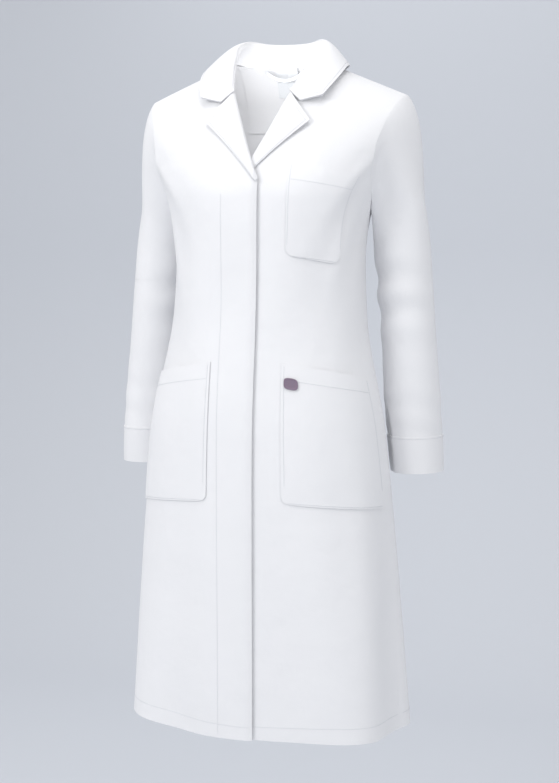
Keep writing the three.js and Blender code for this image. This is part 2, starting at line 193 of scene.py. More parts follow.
sweep = grid_mesh("sweep", sweep_grid(), lambda p: np.array([0, -1, 1]) * np.ones_like(p))
paper = Look("backdrop_paper")
sweep.data.materials.append(paper.finish(Base_Color=SWEEP_COLOUR, Roughness=0.9))
sweep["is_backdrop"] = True


def lamp(name, place, size, power, target=(0, -0.08, -0.5)):
    """A square soft lamp that faces the coat, or another target."""
    made = bpy.data.objects.new(name, bpy.data.lights.new(name, "AREA"))
    made.data.size = size
    made.data.energy = power
    made.location = place
    made.rotation_euler = (Vector(target) - Vector(place)).to_track_quat("-Z", "Y").to_euler()
    bpy.context.scene.collection.objects.link(made)


lamp("key_lamp", (-1.9, -2.5, 1.1), 1.6, 50)
lamp("fill_lamp", (2.4, -1.9, 0.3), 1.8, 21)
lamp("top_lamp", (0.1, -0.9, 2.2), 1.6, 26)
lamp("back_lamp", (-0.5, 2.4, 1.5), 1.6, 16)
lamp("neck_lamp", (0, -0.080, -0.050), 0.08, 0.09, (0, 0.05, -0.045))
studio = bpy.data.worlds.new("studio")
studio.use_nodes = True
studio.node_tree.nodes["Background"].inputs["Color"].default_value = (0.975, 0.98, 1.0, 1.0)
studio.node_tree.nodes["Background"].inputs["Strength"].default_value = 0.56
bpy.context.scene.world = studio
bpy.context.scene.view_settings.view_transform = "Standard"

# The cloth: a white cotton and polyester twill of about 0.4 mm, pressed and a little creased.
# Its ribs run diagonally, half a millimetre apart.
CLOTH_WHITE = (0.865, 0.865, 0.880, 1.0)
# The second colour is a darker, bluer white: painted shade laid along the cloth's soft creases.
CLOTH_PAINTED_SHADE = (0.805, 0.81, 0.83, 1.0)
RIB_PITCH = 0.0006


def twill(name, bright=CLOTH_WHITE, shade=CLOTH_PAINTED_SHADE, crease=0.35):
    """Diagonal ribs as a sine of u plus v, on soft creases of two sizes from noise. The colour turns darker and bluer
    towards painted shade along the larger creases, and varies at random with the yarn.
    """
    look = Look(name)
    place = look.node("ShaderNodeTexCoord", {}, {}, "UV")
    apart = look.node("ShaderNodeSeparateXYZ", {}, {"Vector": place}, "X")
    down = Amount(look, apart.socket.node.outputs["Y"])
    turns = (apart + down * 0.75) * (2 * math.pi / RIB_PITCH)
    ribs = look.node("ShaderNodeMath", {"operation": "SINE"}, {0: turns})
    yarn = look.node("ShaderNodeTexNoise", {}, {"Vector": place, "Scale": 900.0, "Detail": 2.0}, "Fac")
    here = look.node("ShaderNodeTexCoord", {}, {}, "Object")
    soft = look.node("ShaderNodeTexNoise", {}, {"Vector": here, "Scale": 9.0, "Detail": 3.0}, "Fac")
    fine = look.node("ShaderNodeTexNoise", {}, {"Vector": here, "Scale": 42.0, "Detail": 4.0}, "Fac")
    # Painted shade: the colour turns darker and bluer where the soft crease noise is high. The yarn noise adds real
    # random tone.
    tone = look.node("ShaderNodeMix", {"data_type": "RGBA"}, {"Factor": soft * 0.55 + yarn * 0.35}, 2)
    look.feed(tone.socket.node.inputs[6], bright)
    look.feed(tone.socket.node.inputs[7], shade)
    weave = look.node("ShaderNodeBump", {}, {"Height": ribs * 0.5 + yarn, "Distance": 0.00012, "Strength": 0.5})
    pressed = look.node("ShaderNodeBump", {}, {"Height": soft + fine * 0.22, "Distance": 0.010,
                                                "Strength": crease, "Normal": weave})
    rough = 0.80 + yarn * 0.12
    look.shader.inputs["Sheen Weight"].default_value = 0.12
    look.shader.inputs["Sheen Roughness"].default_value = 0.5
    look.shader.inputs["Specular IOR Level"].default_value = 0.25
    return look.finish(Base_Color=tone, Roughness=rough, Normal=pressed)


coat_cloth = twill("coat_cloth")
# The band cloth's second colour is the same painted shade along its creases.
band_cloth = twill("band_cloth", (0.86, 0.86, 0.875, 1.0), (0.81, 0.815, 0.835, 1.0), 0.22)

# The body of the coat: its half width, and its depth before and behind the middle, at five levels.
# The drops are measured down from the back neck.
LEVELS = np.array([0.048, 0.205, 0.370, 0.560, 1.015])
HALF = np.array([0.262, 0.160, 0.150, 0.182, 0.212])
FRONT = np.array([0.104, 0.116, 0.112, 0.124, 0.128])
BACK = np.array([0.066, 0.100, 0.084, 0.104, 0.112])
HEM = 1.015
CHEST = 0.205
SHOULDER_X, SHOULDER_DROP = 0.200, 0.048
NECK_X, NECK_RISE = 0.074, 0.004
SQUARE = 2.3
LAP = 0.014
BREAK = 0.162


def ease(value, low, high):
    """0 up to low, 1 from high, and an S curve between them."""
    t = np.clip((value - low) / (high - low), 0, 1)
    return t * t * (3 - 2 * t)


def through_levels(sizes, drop, levels=LEVELS):
    """The smooth curve through the sizes at the levels: cubic pieces that share their slopes."""
    slopes = np.gradient(sizes, levels)
    slopes[1:-1] = (sizes[2:] - sizes[:-2]) / (levels[2:] - levels[:-2])
    i = np.clip(np.searchsorted(levels, drop) - 1, 0, len(levels) - 2)
    span = levels[i + 1] - levels[i]
    t = (drop - levels[i]) / span
    s = np.clip(t, 0, 1)
    first = (1 + 2 * s) * (1 - s) ** 2 * sizes[i] + s * (1 - s) ** 2 * span * slopes[i]
    second = s * s * (3 - 2 * s) * sizes[i + 1] + s * s * (s - 1) * span * slopes[i + 1]
    return first + second + np.minimum(t, 0) * span * slopes[0]


def middle_y(drop):
    return -0.041 - 0.044 * ease(drop, SHOULDER_DROP, CHEST)


def shoulder_z(x):
    return NECK_RISE - (NECK_RISE + SHOULDER_DROP) / (SHOULDER_X - NECK_X) * (np.abs(x) - NECK_X)


# Folds: the angle round the body where each one hangs (0 at the front, 180 behind), how far it
# leans on its way down, its width in degrees, and how far it stands out at the hem.
FOLDS = [(-66, 8, 13, 0.010), (-36, -10, 12, 0.006), (30, 9, 12, 0.006), (60, -6, 13, 0.010),
         (98, 5, 14, 0.011), (128, -6, 13, 0.012), (160, 6, 12, 0.010), (-98, -5, 14, 0.011),
         (-130, 6, 14, 0.012), (-162, -5, 12, 0.009)]


def folds(angle, drop):
    """The sum of soft ridges along slanting lines, growing from the waist to the hem, less their
    mean, and of two slanting pulls from the bust to the armholes."""
    grow = ease(drop, 0.40, 1.05)
    total = np.zeros(np.broadcast(angle, drop).shape)
    for start, lean, width, height in FOLDS:
        away = (angle - start - lean * (drop - 0.4) / 0.6 + 180) % 360 - 180
        total = total + height * np.exp(-(away / width) ** 2)
    skirt = grow * (total - 0.0035)
    waist = 0.0022 * np.sin(np.radians(angle * 7)) * np.exp(-((drop - 0.36) / 0.07) ** 2)
    pull = np.abs(angle) - 52 + 190 * (drop - 0.19)
    bust = 0.0030 * np.exp(-(pull / 7) ** 2) * np.exp(-((drop - 0.17) / 0.07) ** 2)
    chest = 0.0040 * np.exp(-((np.abs(angle) - 60 + 120 * (drop - 0.26)) / 8) ** 2) * np.exp(-((drop - 0.27) / 0.07) ** 2)
    return 1.5 * skirt + waist + bust + chest


def body(x, drop, behind=False):
    """Depth is a rounded square of x that closes to the shoulder seam as a quarter ellipse, and the
    folds push each point straight out from the middle."""
    x, drop = np.broadcast_arrays(np.asarray(x, dtype=float), np.asarray(drop, dtype=float))
    half = through_levels(HALF, drop)
    depth = through_levels(BACK if behind else FRONT, drop) * (1 if behind else -1)
    across = np.clip(np.abs(x) / half, 0, 1)
    rounded = (1 - across ** SQUARE) ** (1 / SQUARE)
    below = np.clip((shoulder_z(x) + drop) / 0.110, 0, 1)
    cap = np.sqrt(np.clip(1 - (1 - below) ** 2, 0, 1))
    y = middle_y(drop) + depth * rounded * cap
    angle = np.degrees(np.arctan2(np.sign(x) * across, rounded * (-1 if behind else 1)))
    out = folds(angle, drop)
    return np.stack([x + out * np.sin(np.radians(angle)), y - out * np.cos(np.radians(angle)), -drop], axis=-1)


def ring_x(angle, drop):
    """The x at which the rounded square reaches an angle, in degrees from the front."""
    s = np.sin(np.radians(angle))
    return through_levels(HALF, drop) * np.sign(s) * np.abs(s) ** (2 / SQUARE)


def angle_of(x, drop):
    across = np.clip(np.abs(x) / through_levels(HALF, drop), 0, 1)
    return np.sign(x) * np.degrees(np.arcsin(across ** (SQUARE / 2)))


def from_body(points):
    return np.stack([points[:, 0], points[:, 1] + 0.085, np.maximum(points[:, 2] + 0.25, 0)], axis=-1)


def sway(points):
    """Above the hips the coat hangs up to 6 mm to its left."""
    points[..., 0] += 0.006 * (1 - ease(-points[..., 2], 0.15, 0.60))
    return points


def on(surface, u, v, off=0.0, outwards=from_body):
    """The points surface(u, v), moved off along the surface's normal."""
    step = 1e-3
    point = surface(u, v)
    across = surface(np.minimum(u + step, 1), v) - surface(np.maximum(u - step, 0), v)
    down = surface(u, np.minimum(v + step, 1)) - surface(u, np.maximum(v - step, 0))
    normal = np.cross(across, down)
    normal /= np.maximum(np.linalg.norm(normal, axis=-1, keepdims=True), 1e-12)
    flat = point.reshape(-1, 3)
    side = np.sum(normal.reshape(-1, 3) * outwards(flat), axis=-1).reshape(point.shape[:-1] + (1,))
    normal = np.where(side < 0, -normal, normal)
    return sway(point + normal * (np.asarray(off)[..., None] if np.ndim(off) else off))


def cut_size(grid):
    """Width and length are the longest lines across and down the grid, and the area is the sum of its
    cells, each the size of the cross product of its two sides."""
    wide = np.linalg.norm(np.diff(grid, axis=1), axis=-1).sum(axis=1).max()
    tall = np.linalg.norm(np.diff(grid, axis=0), axis=-1).sum(axis=0).max()
    cells = np.cross(grid[:-1, 1:] - grid[:-1, :-1], grid[1:, :-1] - grid[:-1, :-1])
    area = np.linalg.norm(cells, axis=-1).sum()
    return (round(float(wide), 4), round(float(tall), 4)), round(float(min(area, 0.99 * wide * tall)), 5)


def cloth_piece(name, surface, columns, rows, off=0.0, thick=0.0011, material=coat_cloth, outwards=from_body,
                around=False):
    """A grid of the surface's points with the cloth's thickness behind it. The size that it was
    cut to is worked out, but not kept."""
    u, v = np.meshgrid(np.linspace(0, 1, columns), np.linspace(0, 1, rows))
    if around:
        u = u[:, :-1]
        v = v[:, :-1]
    stand = off(u, v) if callable(off) else off
    grid = on(surface, u, v, stand, outwards)
    made = grid_mesh(name, grid, outwards, around)
    flat, area = cut_size(np.concatenate([grid, grid[:, :1]], axis=1) if around else grid)
    wall = made.modifiers.new("thickness", "SOLIDIFY")
    wall.thickness = thick
    wall.offset = -1
    made.data.materials.append(material)
    return made


def lift(x, drop, side):
    """How far the wearer's right front stands off to lap over the left one. Its edge dips back."""
    full = 0.0075 - 0.0032 * (1 - ease(x, -0.0145, -0.006)) if side < 0 else 0.0
    return full * ease(drop, 0.05, 0.13) * (1 - ease(np.abs(x), 0.055, 0.125))


def hem_level(u, side):
    """The lower edge is level, but climbs 34 mm to the wearer's right side seam."""
    return -HEM + (0.034 * u * u if side < 0 else 0.0)


# The fronts: each runs in one piece from the hem to the shoulder seam and the roll line of the lapel.
# They are sewn to the back along the side and shoulder seams, and free along the front edge.
def front(side):
    """Columns run from the front edge to the side seam. Below the chest they follow the rounded
    square, and above it they spread to the neck line, the shoulder seam and the armhole."""
    def surface(u, v):
        neck_share = 0.42
        on_neck = np.clip(u / neck_share, 0, 1)
        on_shoulder = np.clip((u - neck_share) / (1 - neck_share), 0, 1)
        x_top = np.where(u < neck_share, -LAP + (NECK_X + LAP) * on_neck,
                         NECK_X + (SHOULDER_X - NECK_X) * on_shoulder)
        z_neck = -BREAK - LAP + (BREAK + LAP + NECK_RISE) * on_neck
        z_top = np.where(u < neck_share, z_neck, shoulder_z(x_top))
        z = hem_level(u, side) + (z_top - hem_level(u, side)) * v
        start = angle_of(-LAP, np.maximum(-z, CHEST))
        x_low = ring_x(start + (90 - start) * u, np.maximum(-z, CHEST))
        t = np.clip((z + CHEST + 0.03) / (z_top + CHEST + 0.03), 0, 1)
        x = x_low * (1 - t * t) + x_top * t * t
        p = body(x * side, -z)
        p[..., 1] -= lift(x, -z, side)
        return p
    return surface


def with_front(piece):
    """Bakes the piece's placement into its mesh."""
    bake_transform(piece)


NAMES = {-1: "right", 1: "left"}
for side, hand in NAMES.items():
    panel = cloth_piece(hand + "_front", front(side), 90, 240)
    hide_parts(hand + "_front_lower", hand + "_front_upper")
    with_front(panel)


# The back: two halves with a seam down the middle, from the hem to the neck, shoulders and armholes.
def back(side):
    """The same spread of columns as the fronts, from the middle of the back to the side seam."""
    def surface(u, v):
        neck_share = 0.36
        on_neck = np.clip(u / neck_share, 0, 1)
        on_shoulder = np.clip((u - neck_share) / (1 - neck_share), 0, 1)
        x_top = np.where(u < neck_share, NECK_X * on_neck, NECK_X + (SHOULDER_X - NECK_X) * on_shoulder)
        z_top = np.where(u < neck_share, NECK_RISE * on_neck ** 2, shoulder_z(x_top))
        z = hem_level(u, side) + (z_top - hem_level(u, side)) * v
        x_low = ring_x(90 * u, np.maximum(-z, CHEST))
        t = np.clip((z + CHEST + 0.03) / (z_top + CHEST + 0.03), 0, 1)
        x = x_low * (1 - t * t) + x_top * t * t
        return body(np.maximum(x, 0.0002) * side, -z, True)
    return surface


for side, hand in NAMES.items():
    panel = cloth_piece(hand + "_back", back(side), 80, 220)
    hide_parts(hand + "_back_lower", hand + "_back_upper")
    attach(panel, "body")


# Sleeves: a tube of one cloth, sewn round the armhole and set in at the shoulder, with a seam behind.
# Each is made in two lengths that meet above the elbow.
SLEEVE_LEVELS = np.array([0.128, 0.345, 0.622])
SLEEVE_X = np.array([0.1765, 0.2010, 0.2225])
SLEEVE_Y = np.array([-0.041, -0.032, -0.022])
SLEEVE_R = np.array([0.047, 0.0425, 0.0415])
WRIST = 0.622
CUFF = 0.056


def sleeve_folds(around, drop):
    """Soft slanting creases that are strongest at the elbow, and a few long ones down the arm."""
    turn = np.radians(around)
    elbow = np.exp(-((drop - 0.35) / 0.06) ** 2)
    cross = np.sin(2 * math.pi * drop / 0.058 + 1.3 * np.sin(turn) + 0.7) * (0.5 - 0.5 * np.cos(turn + 0.6))
    upper = np.exp(-((drop - 0.20) / 0.06) ** 2)
    cap = np.sin(3 * turn + drop * 26) * upper
    fore = np.sin(2 * turn + drop * 17) * ease(drop, 0.36, 0.60)
    wrist = np.exp(-((drop - 0.53) / 0.05) ** 2) * np.sin(2 * math.pi * drop / 0.045 + 2.1 * np.sin(turn))
    return 0.0026 * cross * elbow + 0.0032 * cap + 0.0030 * fore + 0.0006 * wrist


def tube(side, around, drop):
    """A circle about the sleeve's line at a drop, with its folds, kept outside the body's side."""
    turn = np.radians(around)
    radius = through_levels(SLEEVE_R, drop, SLEEVE_LEVELS) + sleeve_folds(around * side, drop)
    x = through_levels(SLEEVE_X, drop, SLEEVE_LEVELS) + radius * np.cos(turn)
    y = through_levels(SLEEVE_Y, drop, SLEEVE_LEVELS) - radius * np.sin(turn)
    depth = through_levels(BACK, drop)
    away = np.clip(np.abs(y - middle_y(drop)) / depth, 0, 1)
    body_x = through_levels(HALF, drop) * (1 - away ** SQUARE) ** (1 / SQUARE)
    room = body_x + 0.006 * (1 + ease(drop, 0.4, 0.6))
    x = np.where(drop > 0.15, np.maximum(x, room), x)
    return np.stack([side * x, y, -drop], axis=-1)


def armhole(side, around):
    """The loop where the sleeve is sewn: up the front's edge and down the back's, by the same formula
    as the panels' own edges."""
    drop = CHEST - (CHEST - SHOULDER_DROP) * (1 - np.abs((around + 180) % 360 - 180) / 180)
    t = (CHEST + 0.03 - drop) / (CHEST + 0.03 - SHOULDER_DROP)
    x = HALF[1] * (1 - t * t) + SHOULDER_X * t * t
    fore = body(side * x, drop)
    hind = body(side * x, drop, True)
    return np.where((np.sin(np.radians(around)) < 0)[..., None], hind, fore)


SPLIT = 0.330


def sleeve(side, top=None, bottom=SPLIT):
    """v runs down the sleeve. The first 0.16 m turns from the armhole's loop into the tube, with a
    small swell over the shoulder."""
    def surface(u, v):
        around = 360 * u + 180
        inward = 0.5 - 0.5 * np.cos(np.radians(around))
        head_drop = 0.062 + (0.218 - 0.062) * inward
        start = head_drop if top is None else top
        drop = start + (bottom - start) * v
        w = ease(drop - head_drop, -0.004, 0.082 + 0.058 * (1 - inward))
        swell = 0.007 * np.sin(math.pi * w) * (1 - inward)
        p = armhole(side, around) * (1 - w[..., None]) + tube(side, around, drop) * w[..., None]
        p[..., 0] += side * swell
        return p
    return surface


def from_sleeve(side):
    def outwards(points):
        drop = -points[:, 2]
        x = side * through_levels(SLEEVE_X, drop, SLEEVE_LEVELS)
        y = through_levels(SLEEVE_Y, drop, SLEEVE_LEVELS)
        return np.stack([points[:, 0] - x, points[:, 1] - y, 0 * drop], axis=-1)
    return outwards


for side, hand in NAMES.items():
    upper = cloth_piece(hand + "_sleeve_upper", sleeve(side), 73, 80, 0.0, 0.0011, coat_cloth, from_sleeve(side), True)
    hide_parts(hand + "_top_sleeve_upper", hand + "_under_sleeve_upper")
    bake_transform(upper)
    lower = cloth_piece(hand + "_sleeve_lower", sleeve(side, SPLIT - 0.002, WRIST - 0.004), 73, 110, 0.0, 0.0011,
                        coat_cloth, from_sleeve(side), True)
    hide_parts(hand + "_top_sleeve_lower", hand + "_under_sleeve_lower")
    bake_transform(lower)


# Cuffs: a plain turned band round the end of each sleeve, stitched down along its top edge.
def cuff(side):
    def surface(u, v):
        p = tube(side, 360 * u, WRIST - CUFF * (1 - v))
        return p
    return surface


for side, hand in NAMES.items():
    band = cloth_piece(hand + "_cuff_band", cuff(side), 73, 16, 0.0016, 0.0030, band_cloth, from_sleeve(side), True)
    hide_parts(hand + "_cuff")
    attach(band, hand + "_forearm")


# Facings: the turned-in strips behind the front edges, which stiffen them and carry the buttons.
def front_strip(side, near, far, top, bottom):
    """x runs from near to far of the front edge, and the drop from top to bottom, on the front's own surface."""
    def surface(u, v):
        x = near + (far - near) * u
        drop = top + (bottom - top) * v
        p = body(x * side, drop)
        p[..., 1] -= lift(x, drop, side)
        return p
    return surface


for side, hand in NAMES.items():
    strip = cloth_piece(hand + "_facing", front_strip(side, -LAP + 0.001, 0.061, 0.180, HEM - 0.006), 20, 200,
                        -0.0013, 0.0010, band_cloth)
    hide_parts(hand + "_front_facing")
    with_front(strip)

# The concealed fly: a buttonhole band behind the right front, caught down by one row of stitching.
fly_band = cloth_piece("fly_band", front_strip(-1, -LAP + 0.002, 0.040, 0.186, HEM - 0.060), 16, 180, -0.0026, 0.0010,
                       band_cloth)
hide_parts("fly_band_upper", "fly_band_lower")
with_front(fly_band)

# Thread: white polyester in lock stitches 2.6 mm long, each a small grain that dips in at both ends.
# The thread itself is white. Its colour is painted darker and bluer: painted shade standing in for the shadow lines
# along the stitching.
SHADED_THREAD_COLOUR = (0.64, 0.655, 0.69, 1.0)
STITCH = 0.0026
STITCH_PITCH = 0.0034
THREAD = 0.00036
thread_look = Look("thread")
thread_fuzz = thread_look.node("ShaderNodeTexNoise", {}, {"Scale": 2400.0, "Detail": 2.0}, "Fac")
thread = thread_look.finish(Base_Color=SHADED_THREAD_COLOUR, Roughness=0.55 + thread_fuzz * 0.2)


def stitches(name, surface, u, v, off, outwards=from_body):
    """One grain for each step along the line surface(u, v): a four-sided spindle whose middle stands
    proud of the cloth and whose tips sink into it."""
    line = on(surface, u, v, off, outwards)
    above = on(surface, u, v, off + 0.001, outwards)
    far = np.concatenate([[0], np.cumsum(np.linalg.norm(np.diff(line, axis=0), axis=-1))])
    stops = np.arange(STITCH_PITCH, far[-1] - STITCH_PITCH / 2, STITCH_PITCH)
    at = lambda values, where: np.stack([np.interp(where, far, values[:, k]) for k in range(3)], axis=-1)
    centre = at(line, stops)
    along = at(line, stops + 0.001) - at(line, stops - 0.001)
    along /= np.linalg.norm(along, axis=-1, keepdims=True)
    up = at(above, stops) - centre
    up /= np.linalg.norm(up, axis=-1, keepdims=True)
    side_way = np.cross(along, up)
    turn = np.radians([0, 90, 180, 270])
    ring = [(share * STITCH, THREAD * math.cos(a), THREAD * math.sin(a)) for share in (-0.3, 0.3) for a in turn]
    grain = np.array(ring + [(-0.5 * STITCH, 0, -THREAD), (0.5 * STITCH, 0, -THREAD)])
    frame_of = np.stack([along, side_way, up], axis=1)
    points = centre[:, None] + np.einsum("kj,njc->nkc", grain, frame_of)
    sides = [(k, (k + 1) % 4, 4 + (k + 1) % 4, 4 + k) for k in range(4)]
    tips = [((k + 1) % 4, k, 8) for k in range(4)] + [(4 + k, 4 + (k + 1) % 4, 9) for k in range(4)]
    faces = [tuple(10 * n + corner for corner in face) for n in range(len(stops)) for face in sides + tips]
    mesh = bpy.data.meshes.new(name)
    mesh.from_pydata(points.reshape(-1, 3).tolist(), [], faces)
    mesh.polygons.foreach_set("use_smooth", np.ones(len(faces), dtype=bool))
    mesh.materials.append(thread)
    mesh.update()
    made = bpy.data.objects.new(name, mesh)
    bpy.context.scene.collection.objects.link(made)
    return made


steps = np.linspace(0, 1, 400)
full = np.ones(400)
fly_line = stitches("fly_stitching", front_strip(-1, 0.041, 0.042, 0.196, HEM - 0.004), steps * 0, steps, 0.0002)
with_front(fly_line)

# Hems: the lower edges turned up 25 mm inside and stitched round.
HEM_WIDTH = 0.025


def low_strip(surface, low):
    """The part of a panel's surface within the hem's width of its lower edge."""
    return lambda u, v: surface(u, low * v)


for side, hand in NAMES.items():
    front_hem = cloth_piece(hand + "_front_hem", low_strip(front(side), 0.024), 80, 6, -0.0024, 0.0010, band_cloth)
    with_front(front_hem)
    hem_line = stitches(hand + "_front_hem_stitching", front(side), steps * 0.98 + 0.01, full * 0.0235, 0.0002)
    with_front(hem_line)
    back_hem = cloth_piece(hand + "_back_hem", low_strip(back(side), 0.024), 80, 6, -0.0013, 0.0010, band_cloth)
    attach(back_hem, "body")
    back_line = stitches(hand + "_back_hem_stitching", back(side), steps * 0.98 + 0.01, full * 0.0235, 0.0002)
    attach(back_line, "body")
    cuff_line = stitches(hand + "_cuff_stitching", cuff(side), steps, full * 0.05, 0.0018, from_sleeve(side))
    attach(cuff_line, hand + "_forearm")
centre_line = stitches("centre_back_stitching", back(1), full * 0.03, 0.005 + steps * 0.98, 0.0002)
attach(centre_line, "body")

# Buttons: six moulded white ones on the left front, hidden behind the fly. Each is a dished disc
# with four thread holes, sewn on with a small cross of thread.
BUTTON_DROPS = [0.182, 0.272, 0.362, 0.472, 0.582, 0.692]
BUTTON_RADIUS = 0.0075
button_look = Look("button_plastic")
button_cloud = button_look.node("ShaderNodeTexNoise", {}, {"Scale": 160.0, "Detail": 3.0}, "Fac")
button_tone = button_look.node("ShaderNodeMix", {"data_type": "RGBA"}, {"Factor": button_cloud}, 2)
button_look.feed(button_tone.socket.node.inputs[6], (0.80, 0.80, 0.78, 1.0))
button_look.feed(button_tone.socket.node.inputs[7], (0.70, 0.71, 0.70, 1.0))
button_plastic = button_look.finish(Base_Color=button_tone, Roughness=0.22 + button_cloud * 0.12)


def button_grid(place, slope):
    """Rings of a disc: the face dips inside a round rim, the four holes are narrow wells, and the
    last rings close the back flat."""
    radius = np.concatenate([np.linspace(0.02, 1, 26), [1.0, 0.9, 0.5, 0.02]]) * BUTTON_RADIUS
    height = np.concatenate([np.full(26, 0.0024), [0.0006, 0.0, 0.0, 0.0]])
    turn = np.radians(np.arange(0, 360, 9))
    x = radius[:, None] * np.cos(turn)
    z = radius[:, None] * np.sin(turn)
    dish = -0.0007 * (1 - ease(radius / BUTTON_RADIUS, 0.62, 0.80)) - 0.0009 * ease(radius / BUTTON_RADIUS, 0.88, 1.0) ** 2
    holes = sum(np.exp(-(((x - a) ** 2 + (z - b) ** 2) / 0.0007 ** 2) ** 2) for a in (-0.0014, 0.0014) for b in (-0.0014, 0.0014))
    face = np.arange(30) < 26
    out = height[:, None] + np.where(face[:, None], dish[:, None] - 0.0012 * holes, 0)
    return sway(np.stack([place[0] + x, place[1] - out + z * slope, place[2] + z], axis=-1))


for number, drop in enumerate(BUTTON_DROPS, 1):
    seat = body(np.array(0.0), np.array(drop))
    slope = float((body(np.array(0.0), np.array(drop - 0.005)) - seat)[1] / 0.005)
    seat[1] -= 0.0004
    button = grid_mesh("button_%d" % number, button_grid(seat, slope), lambda p, c=seat: p - c - np.array([0, 0.0012, 0]), True)
    button.data.materials.append(button_plastic)
    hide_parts("fly_button_%d" % number)
    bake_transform(button)

# Lapels: the tops of the fronts rolled outwards, with their facing side showing.
ROLL_TOP = (0.044, 0.045)
LAPEL_TIP = (0.081, 0.090)


def lapel(side):
    """Lines from the roll line to the outer edge, which meet at the first button. The cloth turns over
    the roll as a quarter circle, and the point stands a little off the chest."""
    def surface(u, v):
        roll_x = -LAP + (ROLL_TOP[0] + LAP) * v
        roll_drop = BREAK + LAP + (ROLL_TOP[1] - BREAK - LAP) * v
        edge_x = -LAP + 0.002 + (LAPEL_TIP[0] + LAP - 0.002) * v
        edge_drop = BREAK + LAP + 0.004 + (LAPEL_TIP[1] - BREAK - LAP - 0.004) * v - 0.004 * np.sin(math.pi * v)
        x = roll_x + (edge_x - roll_x) * u
        drop = roll_drop + (edge_drop - roll_drop) * u
        p = body(x * side, drop)
        turned = np.sqrt(np.clip(1 - (1 - np.clip(u / 0.10, 0, 1)) ** 2, 0, 1))
        stand = -0.0010 + 0.0040 * turned + 0.0045 * np.sin(math.pi * u) * v + 0.005 * u * u * v ** 3
        p[..., 1] -= lift(x, drop, side) + stand
        return p
    return surface


edge_v = np.linspace(0.06, 0.985, 400)
for side, hand in NAMES.items():
    turned = cloth_piece(hand + "_lapel_cloth", lapel(side), 40, 70, 0.0, 0.0016, coat_cloth, from_body, False)
    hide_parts(hand + "_lapel")
    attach(turned, "body")
    for part, u, v in (("edge", full * 0.93, edge_v), ("point", 0.42 + steps * 0.51, full * 0.955)):
        row = stitches(hand + "_lapel_" + part + "_stitching", lapel(side), u, v, 0.0002)
        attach(row, "body")

# The collar: a stand sewn to the neck, and a fall that turns over it and lies on the shoulders.
# Its points are the neck seam, the fold and the outer edge, from the middle of the back to the front.
NECK_SEAM = [body(0.0, 0.0, True), body(0.037, -0.001, True), body(0.060, -0.0026, True), np.array([0.0735, -0.041, 0.004]),
             body(0.063, 0.017), body(0.046, 0.052)]
FOLD = [(0.0, 0.012, 0.037), (0.032, 0.007, 0.038), (0.055, -0.012, 0.040), (0.0625, -0.042, 0.028), (0.0565, -0.088, -0.004),
        (0.044, -0.137, -0.045)]
FALL = [(0.0, 0.030, -0.023), (0.058, 0.020, -0.020), (0.102, -0.020, -0.003), (0.112, -0.062, -0.005), (0.108, -0.106, -0.027),
        (0.095, -0.139, -0.053)]


def through(points, t):
    """The Catmull-Rom curve through evenly spaced points."""
    known = np.array([2 * np.array(points[0]) - points[1], *points, 2 * np.array(points[-1]) - points[-2]], dtype=float)
    known[0] = np.array(points[1]) * np.array([-1, 1, 1]) if abs(points[0][0]) < 1e-9 else known[0]
    place = np.clip(t, 0, 1) * (len(points) - 1)
    i = np.clip(place.astype(int), 0, len(points) - 2)
    f = (place - i)[..., None]
    a, b, c, d = known[i], known[i + 1], known[i + 2], known[i + 3]
    return 0.5 * (2 * b + (c - a) * f + (2 * a - 5 * b + 4 * c - d) * f ** 2 + (3 * b - a - 3 * c + d) * f ** 3)


def both_sides(points, turn):
    return through(points, np.abs(turn)) * np.stack([np.sign(turn), 1 + 0 * turn, 1 + 0 * turn], axis=-1)


def collar(u, v):
    """Lines from the fold to the outer edge, raised in their middle. The front ends sag to the notch."""
    turn = np.clip(2 * u - 1, -1, 1)
    fold = both_sides(FOLD, turn)
    p = fold + (both_sides(FALL, turn) - fold) * v[..., None]
    arch = np.sin(math.pi * np.clip(v, 0, 1) ** 0.7)
    notch = np.minimum(v / 0.35, (1 - v) / 0.65)
    p[..., 2] += 0.010 * arch * (1 - np.abs(turn) ** 6) - 0.013 * notch * np.abs(turn) ** 10
    p[..., 1] -= 0.005 * arch * np.abs(turn) ** 4
    return p


def stand_band(u, v):
    """Straight lines from the fold down to the neck seam."""
    turn = np.clip(2 * u - 1, -1, 1)
    fold = both_sides(FOLD, turn)
    return fold + (both_sides(NECK_SEAM, turn) - fold) * v[..., None]


def from_neck(points):
    return np.stack([points[:, 0], points[:, 1] + 0.055, 0.5 * (points[:, 2] + 0.07)], axis=-1)


fall_piece = cloth_piece("collar_fall", collar, 141, 30, 0.0012, 0.0012, coat_cloth, from_neck, False)
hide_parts("upper_collar")
under_piece = cloth_piece("collar_underside", lambda u, v: collar(u, 0.985 * v), 141, 26, -0.0004, 0.0010, band_cloth,
                          from_neck, False)
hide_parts("under_collar")
band_piece = cloth_piece("collar_band", stand_band, 121, 14, 0.0008, 0.0020, coat_cloth, from_neck)
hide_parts("collar_stand")
for made in (fall_piece, under_piece, band_piece):
    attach(made, "body")
for part, u, v in (("edge", 0.01 + steps * 0.98, full * 0.93), ("right_end", full * 0.012, 0.4 + steps * 0.53),
                   ("left_end", full * 0.988, 0.4 + steps * 0.53)):
    row = stitches("collar_" + part + "_stitching", collar, u, v, 0.0014, from_neck)
    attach(row, "body")


# Inside the neck: a facing across the top of the back, a woven label, a folded care label, and a tape
# loop to hang the coat by. The labels are plain.
def neck_facing(u, v):
    x = -0.072 + 0.144 * u
    top = 0.0015 - NECK_RISE * (x / NECK_X) ** 2
    return body(x, top + (0.098 - top) * v, True)


def neck_patch(width, top, bottom):
    def surface(u, v):
        return body(width * (u - 0.5), top + (bottom - top) * v, True)
    return surface


def piece_inside(name, node, surface, columns, rows, off, thick, material, body_name="body"):
    made = cloth_piece(name, surface, columns, rows, off, thick, material)
    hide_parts(node)
    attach(made, body_name)
    return made


